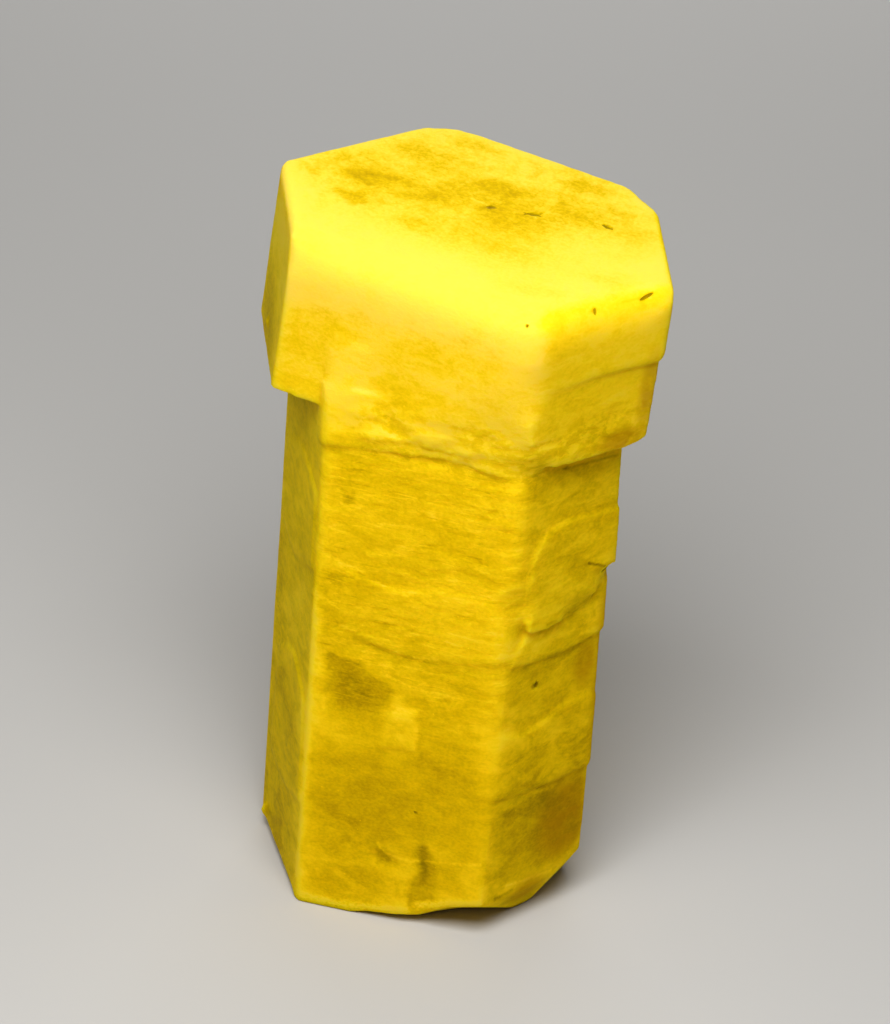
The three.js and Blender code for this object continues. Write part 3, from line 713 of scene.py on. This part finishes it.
def mark_shades(piece):
    """Marks the change of tone that the areas and spots bring, and where the mineral is most mottled"""
    where, normals = places(piece), outward(piece)
    moved = where + wobble(where)
    tone = np.zeros(len(where))
    for face, areas in SHADES.items():
        for change, corners in areas:
            tone += change * shade_area(moved, normals, face, corners)
    for middle, reach, change in SPOTS:
        tone += change * patches(moved, [(middle, reach)])
    mark(piece, "shade", tone)
    top = soft_step(normals[:, 2], 0.5, 0.9)
    front = soft_step(-normals[:, 1], 0.6, 0.9)
    left = soft_step(-normals[:, 0], 0.4, 0.8)
    front_corner = 1 - soft_step(where[:, 1] - 0.3 * where[:, 0], -4.5, 1.5)
    mark(piece, "mottled", (1 - 0.35 * front - 0.05 * left + 0.05 * top) * (1 - 0.6 * top * front_corner))
    # Milky, and painted sheen, on faces that look up and on the head's front, most just below its top edge
    upward = soft_step(normals[:, 2], 0.1, 0.6) * (1 - soft_step(normals[:, 0], 0.1, 0.45))
    band = 0.4 * soft_step(where[:, 2], 24, 28) + 0.6 * soft_step(where[:, 2], 29, 30.8)
    mark(piece, "milky_and_sheen", np.clip(upward + front * band, 0, 1))
    mark(piece, "rough", roughened(piece))


def seated_strokes(piece):
    """The strokes, with every place moved onto the surface"""
    seated = []
    for change, width, line in STROKES:
        places_on = [piece.closest_point_on_mesh(Vector(place) * MM)[1] / MM for place in line]
        seated.append((change, width, places_on))
    return seated


def mark_stand_out(piece, name, reach, height, size):
    """Marks how far each place stands out from a softened copy: edges above 0.5, hollows below"""
    modifier = piece.modifiers.new("Softened copy", "SMOOTH")
    modifier.factor = 1.0
    modifier.iterations = smoothing_rounds(reach, size)
    soft = piece.evaluated_get(bpy.context.evaluated_depsgraph_get())
    points = np.empty(len(piece.data.vertices) * 3)
    soft.data.vertices.foreach_get("co", points)
    stand_out = ((places(piece) - points.reshape(-1, 3) / MM) * outward(piece)).sum(1)
    piece.modifiers.remove(modifier)
    mark(piece, name, np.clip(0.5 + stand_out * MM / height, 0, 1))


def thin_out(piece, triangles):
    """Keeps this many triangles, where the surface is most uneven"""
    now = sum(len(face.vertices) - 2 for face in piece.data.polygons)
    modifier = piece.modifiers.new("Thin out", "DECIMATE")
    modifier.ratio = min(1, triangles / now)
    apply_modifier(piece, modifier)


# Material


def add_node(tree, kind, **settings):
    node = tree.nodes.new(kind)
    for key, value in settings.items():
        setattr(node, key, value)
    return node


def group_tree(name, inputs, outputs):
    """An empty node group with its sockets"""
    tree = bpy.data.node_groups.new(name, "ShaderNodeTree")
    for label, kind, default in inputs:
        socket = tree.interface.new_socket(label, in_out="INPUT", socket_type=kind)
        if default is not None:
            socket.default_value = default
    for label, kind in outputs:
        tree.interface.new_socket(label, in_out="OUTPUT", socket_type=kind)
    return tree, tree.nodes.new("NodeGroupInput"), tree.nodes.new("NodeGroupOutput")


def layered_noise():
    """Node group: noise that is stretched level, like growth layers, as a mask"""
    tree, source, target = group_tree(
        "Layered noise",
        [
            ("Place", "NodeSocketVector", None),
            ("Width", "NodeSocketFloat", 3.0),
            ("Height", "NodeSocketFloat", 0.5),
            ("Detail", "NodeSocketFloat", 3.0),
            ("Raggedness", "NodeSocketFloat", 0.0),
            ("Low", "NodeSocketFloat", 0.4),
            ("High", "NodeSocketFloat", 0.6),
        ],
        [("Mask", "NodeSocketFloat"), ("Swing", "NodeSocketFloat")],
    )
    size = add_node(tree, "ShaderNodeCombineXYZ")
    tree.links.new(source.outputs["Width"], size.inputs["X"])
    tree.links.new(source.outputs["Width"], size.inputs["Y"])
    tree.links.new(source.outputs["Height"], size.inputs["Z"])
    shrink = add_node(tree, "ShaderNodeVectorMath", operation="DIVIDE")
    tree.links.new(source.outputs["Place"], shrink.inputs[0])
    tree.links.new(size.outputs["Vector"], shrink.inputs[1])
    cloud = add_node(tree, "ShaderNodeTexNoise")
    cloud.inputs["Scale"].default_value = 1.0
    cloud.inputs["Roughness"].default_value = 0.6
    tree.links.new(shrink.outputs["Vector"], cloud.inputs["Vector"])
    tree.links.new(source.outputs["Detail"], cloud.inputs["Detail"])
    tree.links.new(source.outputs["Raggedness"], cloud.inputs["Distortion"])
    contrast = add_node(tree, "ShaderNodeMapRange", interpolation_type="SMOOTHSTEP")
    tree.links.new(cloud.outputs["Fac"], contrast.inputs["Value"])
    tree.links.new(source.outputs["Low"], contrast.inputs["From Min"])
    tree.links.new(source.outputs["High"], contrast.inputs["From Max"])
    tree.links.new(contrast.outputs["Result"], target.inputs["Mask"])
    swing = add_node(tree, "ShaderNodeMath", operation="MULTIPLY_ADD")
    tree.links.new(contrast.outputs["Result"], swing.inputs[0])
    swing.inputs[1].default_value = 2
    swing.inputs[2].default_value = -1
    tree.links.new(swing.outputs["Value"], target.inputs["Swing"])
    return tree


def specks_group():
    """Node group: small scattered dots in a share of the cells, as a mask"""
    tree, source, target = group_tree(
        "Specks",
        [
            ("Place", "NodeSocketVector", None),
            ("Spacing", "NodeSocketFloat", 1.0),
            ("Size", "NodeSocketFloat", 0.1),
            ("Share", "NodeSocketFloat", 0.5),
        ],
        [("Mask", "NodeSocketFloat")],
    )
    shrink = add_node(tree, "ShaderNodeVectorMath", operation="DIVIDE")
    tree.links.new(source.outputs["Place"], shrink.inputs[0])
    tree.links.new(source.outputs["Spacing"], shrink.inputs[1])
    cells = add_node(tree, "ShaderNodeTexVoronoi")
    cells.inputs["Scale"].default_value = 1.0
    tree.links.new(shrink.outputs["Vector"], cells.inputs["Vector"])
    dot = add_node(tree, "ShaderNodeMapRange", interpolation_type="SMOOTHSTEP")
    tree.links.new(cells.outputs["Distance"], dot.inputs["Value"])
    tree.links.new(source.outputs["Size"], dot.inputs["From Max"])
    dot.inputs["To Min"].default_value = 1.0
    dot.inputs["To Max"].default_value = 0.0
    chosen = add_node(tree, "ShaderNodeMath", operation="LESS_THAN")
    tree.links.new(cells.outputs["Color"], chosen.inputs[0])
    tree.links.new(source.outputs["Share"], chosen.inputs[1])
    both = add_node(tree, "ShaderNodeMath", operation="MULTIPLY")
    tree.links.new(dot.outputs["Result"], both.inputs[0])
    tree.links.new(chosen.outputs["Value"], both.inputs[1])
    tree.links.new(both.outputs["Value"], target.inputs["Mask"])
    return tree


def stroke_group():
    """Node group: a soft line from one place to another, as a mask"""
    tree, source, target = group_tree(
        "Stroke",
        [
            ("Place", "NodeSocketVector", None),
            ("From", "NodeSocketVector", None),
            ("To", "NodeSocketVector", None),
            ("Width", "NodeSocketFloat", 0.1),
        ],
        [("Mask", "NodeSocketFloat")],
    )

    def vector_math(operation, *values):
        node = add_node(tree, "ShaderNodeVectorMath", operation=operation)
        for value, socket in zip(values, node.inputs):
            tree.links.new(value, socket)
        return node.outputs["Value" if operation in ("DOT_PRODUCT", "LENGTH") else "Vector"]

    # Each node is made after the ones it reads and no socket is converted, so that the renderer works
    # through one line after the other: it has too little room to hold them all at once
    whole = vector_math("SUBTRACT", source.outputs["To"], source.outputs["From"])
    whole_squared = vector_math("DOT_PRODUCT", whole, whole)
    offset = vector_math("SUBTRACT", source.outputs["Place"], source.outputs["From"])
    along = vector_math("DOT_PRODUCT", offset, whole)
    share = add_node(tree, "ShaderNodeMath", operation="DIVIDE", use_clamp=True)
    tree.links.new(along, share.inputs[0])
    tree.links.new(whole_squared, share.inputs[1])
    nearest = add_node(tree, "ShaderNodeVectorMath", operation="SCALE")
    tree.links.new(whole, nearest.inputs[0])
    tree.links.new(share.outputs["Value"], nearest.inputs["Scale"])
    away = vector_math("LENGTH", vector_math("SUBTRACT", offset, nearest.outputs["Vector"]))
    line = add_node(tree, "ShaderNodeMapRange", interpolation_type="SMOOTHSTEP")
    tree.links.new(away, line.inputs["Value"])
    tree.links.new(source.outputs["Width"], line.inputs["From Max"])
    line.inputs["To Min"].default_value = 1.0
    line.inputs["To Max"].default_value = 0.0
    tree.links.new(line.outputs["Result"], target.inputs["Mask"])
    return tree


class Recipe:
    """Short ways to lay out the nodes of one material"""

    def __init__(self, material):
        self.tree = material.node_tree
        self.shader = self.tree.nodes["Principled BSDF"]
        where = add_node(self.tree, "ShaderNodeTexCoord")
        in_mm = add_node(self.tree, "ShaderNodeVectorMath", operation="SCALE")
        in_mm.inputs["Scale"].default_value = 1 / MM
        self.tree.links.new(where.outputs["Object"], in_mm.inputs[0])
        self.place = in_mm.outputs["Vector"]
        self.level = add_node(self.tree, "ShaderNodeSeparateXYZ")
        self.tree.links.new(self.place, self.level.inputs["Vector"])
        self.layers = layered_noise()
        self.dots = specks_group()
        self.lines = stroke_group()
        self.shifted = self.shifted_place(0.4, 0.12)

    def noise(self, width, height, low=0.3, high=0.7, detail=4.0, raggedness=0.0):
        """Layered noise, by its sizes in millimetres: a mask from 0 to 1, and a swing from -1 to 1"""
        node = add_node(self.tree, "ShaderNodeGroup")
        node.node_tree = self.layers
        values = {
            "Width": width, "Height": height, "Detail": detail, "Raggedness": raggedness,
            "Low": low, "High": high,
        }
        for label, value in values.items():
            node.inputs[label].default_value = value
        self.tree.links.new(self.place, node.inputs["Place"])
        return node.outputs["Mask"], node.outputs["Swing"]

    def specks(self, spacing, size, share):
        node = add_node(self.tree, "ShaderNodeGroup")
        node.node_tree = self.dots
        for label, value in {"Spacing": spacing, "Size": size, "Share": share}.items():
            node.inputs[label].default_value = value
        self.tree.links.new(self.place, node.inputs["Place"])
        return node.outputs["Mask"]

    def shifted_place(self, size, reach):
        """The place, moved a little by noise, so that lines drawn by it waver"""
        cloud = add_node(self.tree, "ShaderNodeTexNoise")
        cloud.inputs["Scale"].default_value = 1 / size
        self.tree.links.new(self.place, cloud.inputs["Vector"])
        centred = add_node(self.tree, "ShaderNodeVectorMath", operation="SUBTRACT")
        self.tree.links.new(cloud.outputs["Color"], centred.inputs[0])
        centred.inputs[1].default_value = (0.5, 0.5, 0.5)
        moved = add_node(self.tree, "ShaderNodeVectorMath", operation="MULTIPLY_ADD")
        self.tree.links.new(centred.outputs["Vector"], moved.inputs[0])
        moved.inputs[1].default_value = (reach, reach, reach)
        self.tree.links.new(self.place, moved.inputs[2])
        return moved.outputs["Vector"]

    def stroke(self, width, line):
        """A mask of a line through several places"""
        covered = None
        for start, end in zip(line, line[1:]):
            node = add_node(self.tree, "ShaderNodeGroup")
            node.node_tree = self.lines
            self.tree.links.new(self.shifted, node.inputs["Place"])
            node.inputs["From"].default_value = start
            node.inputs["To"].default_value = end
            node.inputs["Width"].default_value = width
            mask = node.outputs["Mask"]
            covered = self.math("MAXIMUM", covered, mask) if covered else mask
        return covered

    def marked(self, name):
        return add_node(self.tree, "ShaderNodeAttribute", attribute_name=name).outputs["Fac"]

    def masked(self, value, low, high):
        """A smooth mask that rises from low to high"""
        node = add_node(self.tree, "ShaderNodeMapRange", interpolation_type="SMOOTHSTEP")
        self.tree.links.new(value, node.inputs["Value"])
        node.inputs["From Min"].default_value = low
        node.inputs["From Max"].default_value = high
        return node.outputs["Result"]

    def math(self, operation, *values, clamp=True):
        node = add_node(self.tree, "ShaderNodeMath", operation=operation, use_clamp=clamp)
        for socket, value in zip(node.inputs, values):
            if isinstance(value, bpy.types.NodeSocket):
                self.tree.links.new(value, socket)
            else:
                socket.default_value = value
        return node.outputs["Value"]

    def ragged(self, value, noise):
        """A marked patch whose outline is broken up by noise"""
        return self.math("MULTIPLY", value, self.math("MULTIPLY_ADD", noise, 0.7, 0.5))

    def added(self, tone, value, weight):
        """The tone with a weighted value added"""
        return self.math("MULTIPLY_ADD", value, weight, tone, clamp=False)

    def ramp(self, tone, colours):
        """Evenly spaced colours along a tone from 0 to 1"""
        node = add_node(self.tree, "ShaderNodeValToRGB")
        steps = node.color_ramp.elements
        while len(steps) < len(colours):
            steps.new(0.5)
        for index, (step, colour) in enumerate(zip(steps, colours)):
            step.position = index / (len(colours) - 1)
            step.color = (*colour, 1)
        self.tree.links.new(tone, node.inputs["Fac"])
        return node.outputs["Color"]

    def mix(self, factor, first, second, strength=1.0):
        """Mixes from the first colour to the second by a mask; each may be a socket or a colour"""
        node = add_node(self.tree, "ShaderNodeMix", data_type="RGBA")
        self.tree.links.new(self.math("MULTIPLY", factor, strength), node.inputs["Factor"])
        for socket, colour in ((node.inputs["A"], first), (node.inputs["B"], second)):
            if isinstance(colour, bpy.types.NodeSocket):
                self.tree.links.new(colour, socket)
            else:
                socket.default_value = (*colour, 1)
        return node.outputs["Result"]


def mineral(colours, strokes):
    """The cloudy yellow mineral, with its thin light and dark lines, and painted highlights, glints and
    shade
    """
    material = bpy.data.materials.new("Cloudy yellow apatite")
    material.use_nodes = True
    recipe = Recipe(material)
    shader = recipe.shader
    height = recipe.level.outputs["Z"]
    wisp_mask, wisps = recipe.noise(1.7, 0.9, 0.34, 0.66, detail=6, raggedness=0.8)
    clouds = recipe.noise(6.0, 5.0, detail=1)[1]
    spots_mask, spots = recipe.noise(0.55, 0.36, detail=4, raggedness=0.4)
    grain_mask, grain = recipe.noise(0.17, 0.12, detail=1)
    flakes = recipe.noise(1.1, 0.22, 0.53, 0.6, detail=4, raggedness=1.0)[0]
    dark_flakes = recipe.noise(1.4, 0.16, 0.56, 0.66, detail=3)[0]
    layers = recipe.math("MULTIPLY", recipe.marked("layers"), wisp_mask)
    dark_layers = recipe.math("MULTIPLY", recipe.marked("layers"), spots_mask)
    mottled = recipe.marked("mottled")
    edge = recipe.math("SUBTRACT", recipe.marked("edge"), 0.5, clamp=False)
    lip_light_and_shade = recipe.math("SUBTRACT", recipe.marked("lip_light_and_shade"), 0.5, clamp=False)

    # Lighter from the foot up to the top, and in small patches where the head spreads over the stem
    tone = recipe.added(0.47, recipe.masked(height, 2, 16), 0.14)
    tone = recipe.added(tone, recipe.masked(height, 20, 25.5), 0.17)
    tone = recipe.added(tone, recipe.masked(height, 28.5, 32), 0.12)
    rough = recipe.math("MULTIPLY", recipe.marked("rough"), recipe.masked(spots_mask, 0.5, 0.65))
    tone = recipe.added(tone, rough, 0.2)
    # Amber and pale mottling, coarse to fine, and the light and dark flakes of the growth layers
    tone = recipe.added(tone, recipe.math("MULTIPLY", clouds, mottled, clamp=False), 0.14)
    tone = recipe.added(tone, recipe.math("MULTIPLY", wisps, mottled, clamp=False), 0.16)
    tone = recipe.added(tone, recipe.math("MULTIPLY", spots, mottled, clamp=False), 0.08)
    tone = recipe.added(tone, grain, 0.06)
    tone = recipe.added(tone, recipe.math("MULTIPLY", flakes, layers), 0.26)
    tone = recipe.added(tone, recipe.math("MULTIPLY", dark_flakes, dark_layers), -0.24)
    # Painted highlights on edges and lips that stand out, and painted shade in hollows
    tone = recipe.added(tone, edge, 0.45)
    tone = recipe.added(tone, lip_light_and_shade, 0.35)
    # Then the marked areas, the thin lines and the specks
    thickness = recipe.math("MULTIPLY_ADD", wisp_mask, 0.8, 0.6, clamp=False)
    tone = recipe.added(tone, recipe.math("MULTIPLY", recipe.marked("shade"), thickness, clamp=False), 1.0)
    for change, width, line in strokes:
        tone = recipe.added(tone, recipe.ragged(recipe.stroke(width, line), grain_mask), change)
    # Painted glints: small bright specks
    tone = recipe.added(tone, recipe.specks(0.6, 0.09, 0.5), 0.34)
    tone = recipe.added(tone, recipe.specks(1.7, 0.05, 0.35), -0.25)
    # The brightest places level off, and pits stay dark
    tone = recipe.math("SMOOTH_MIN", tone, 1.08, 0.35, clamp=False)
    tone = recipe.added(tone, recipe.marked("pit"), -0.38)
    colour = recipe.ramp(tone, (colours.dark, colours.deep, colours.body, colours.cloud, colours.bright))
    # Up-facing faces and the head's front near its top turn milky: partly real, partly painted sheen
    milk_and_sheen_share = recipe.masked(recipe.added(tone, recipe.marked("milky_and_sheen"), 0.5), 0.85, 1.5)
    colour = recipe.mix(milk_and_sheen_share, colour, colours.milk_and_sheen)
    # Rust stains, partly painted shade in the notch and under the head
    colour = recipe.mix(recipe.ragged(recipe.marked("stain_and_shade"), wisp_mask), colour, colours.rust_and_shade, 0.6)
    recipe.tree.links.new(colour, shader.inputs["Base Color"])

    bump = add_node(recipe.tree, "ShaderNodeBump")
    bump.inputs["Strength"].default_value = 0.4
    bump.inputs["Distance"].default_value = 0.015 * MM
    recipe.tree.links.new(grain_mask, bump.inputs["Height"])
    recipe.tree.links.new(bump.outputs["Normal"], shader.inputs["Normal"])

    shader.inputs["Roughness"].default_value = colours.roughness
    shader.inputs["Specular IOR Level"].default_value = colours.sheen
    shader.inputs["Subsurface Weight"].default_value = colours.glow
    shader.inputs["Subsurface Radius"].default_value = (1.0, 0.7, 0.15)
    shader.inputs["Subsurface Scale"].default_value = colours.glow_depth
    return material


# Operators


class CRYSTAL_OT_build_surface(bpy.types.Operator):
    """Grow the crystal's fine surface on a copy of its solid, and colour it"""

    bl_idname = "crystal.build_surface"
    bl_label = "Build Crystal"

    def execute(self, context):
        shape = context.scene.crystal_shape
        size = shape.mesh_size
        piece = copied_solid()
        add_lumps(piece)
        remesh(piece, size)
        soften(piece, smoothing_rounds(shape.wear, size))
        melt(piece, size)
        grow_swell(piece, shape.swell)
        grow_steps(piece, shape.steps)
        grow_scales(piece, shape.scales)
        grow_grain(piece, shape.grain)
        # How far edges and lips stand out, for painted highlights on them and painted shade in hollows
        mark_stand_out(piece, "edge", reach=0.7 * MM, height=0.6 * MM, size=size)
        mark_stand_out(piece, "lip_light_and_shade", reach=0.12 * MM, height=0.08 * MM, size=size)
        thin_out(piece, shape.triangles)
        cut_pits(piece)
        mark_shades(piece)
        mark(piece, "layers", layered(piece))
        mark(piece, "stain_and_shade", patches(places(piece), STAINS_AND_SHADE))
        only(piece)
        bpy.ops.object.shade_smooth()
        piece.vertex_groups.clear()
        piece.data.materials.clear()
        piece.data.materials.append(mineral(context.scene.crystal_colours, seated_strokes(piece)))
        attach(piece, BODY)
        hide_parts(NODE)
        return {"FINISHED"}


def turned(azimuth, elevation):
    """The direction from the crystal towards a place at this azimuth and elevation"""
    level = math.cos(elevation)
    return Vector((math.sin(azimuth) * level, -math.cos(azimuth) * level, math.sin(elevation)))


def add_camera(studio):
    """The camera, aimed so that the crystal stands in the picture where it stood when photographed"""
    back = turned(studio.azimuth, studio.elevation)
    aim = Vector(PICTURE_MIDDLE) * MM
    bpy.ops.object.camera_add(location=aim + back * studio.distance)
    camera = bpy.context.object
    turn = (-back).to_track_quat("-Z", "Y").to_matrix().to_4x4()
    camera.rotation_euler = turn.to_euler()
    camera.rotation_euler.rotate_axis("Z", studio.roll)
    camera.data.lens = studio.lens
    camera.data.sensor_width = 36
    bpy.context.scene.camera = camera


def add_softbox(name, azimuth, elevation, distance, size, power):
    direction = turned(math.radians(azimuth), math.radians(elevation))
    aim = Vector((0, 0, 0.6 * HEIGHT))
    bpy.ops.object.light_add(type="AREA", location=aim + direction * distance)
    light = bpy.context.object
    light.name = name
    light.rotation_euler = (-direction).to_track_quat("-Z", "Y").to_euler()
    light.visible_camera = False
    light.data.size = size
    light.data.energy = power


def add_floor(colour):
    bpy.ops.mesh.primitive_plane_add(size=2, location=(0, 0, 0))
    floor = bpy.context.object
    floor.name = "floor"
    material = bpy.data.materials.new("Pale paper")
    material.use_nodes = True
    shader = material.node_tree.nodes["Principled BSDF"]
    shader.inputs["Base Color"].default_value = (*colour, 1)
    shader.inputs["Roughness"].default_value = 0.9
    floor.data.materials.append(material)


class CRYSTAL_OT_build_studio(bpy.types.Operator):
    """Set up the camera, the softboxes and the pale floor"""

    bl_idname = "crystal.build_studio"
    bl_label = "Build Studio"

    def execute(self, context):
        studio = context.scene.crystal_studio
        add_camera(studio)
        add_softbox("key", azimuth=8, elevation=56, distance=0.11, size=0.07, power=studio.key)
        add_softbox("back", azimuth=195, elevation=8, distance=0.16, size=0.12, power=studio.back)
        add_floor(studio.floor)
        world = bpy.data.worlds.new("Soft room")
        context.scene.world = world
        world.use_nodes = True
        background = world.node_tree.nodes["Background"]
        background.inputs["Color"].default_value = (1, 1, 1, 1)
        background.inputs["Strength"].default_value = studio.fill
        context.scene.view_settings.view_transform = "Standard"
        return {"FINISHED"}


class CRYSTAL_PT_panel(bpy.types.Panel):
    """Sizes, colours and light of the crystal"""

    bl_idname = "CRYSTAL_PT_panel"
    bl_label = "Crystal"
    bl_space_type = "VIEW_3D"
    bl_region_type = "UI"
    bl_category = "Crystal"

    def draw(self, context):
        scene = context.scene
        for group, operator in (
            (scene.crystal_shape, None),
            (scene.crystal_colours, CRYSTAL_OT_build_surface.bl_idname),
            (scene.crystal_studio, CRYSTAL_OT_build_studio.bl_idname),
        ):
            column = self.layout.column(align=True)
            for label in group.bl_rna.properties.keys():
                if label not in ("rna_type", "name"):
                    column.prop(group, label)
            if operator:
                self.layout.operator(operator)


CLASSES = (
    CrystalShape,
    CrystalColours,
    CrystalStudio,
    CRYSTAL_OT_build_surface,
    CRYSTAL_OT_build_studio,
    CRYSTAL_PT_panel,
)


def register():
    for entry in CLASSES:
        bpy.utils.register_class(entry)
    bpy.types.Scene.crystal_shape = bpy.props.PointerProperty(type=CrystalShape)
    bpy.types.Scene.crystal_colours = bpy.props.PointerProperty(type=CrystalColours)
    bpy.types.Scene.crystal_studio = bpy.props.PointerProperty(type=CrystalStudio)


def unregister():
    del bpy.types.Scene.crystal_studio
    del bpy.types.Scene.crystal_colours
    del bpy.types.Scene.crystal_shape
    for entry in reversed(CLASSES):
        bpy.utils.unregister_class(entry)


def main():
    register()
    bpy.ops.crystal.build_studio()
    bpy.ops.crystal.build_surface()


if __name__ == "__main__":
    main()
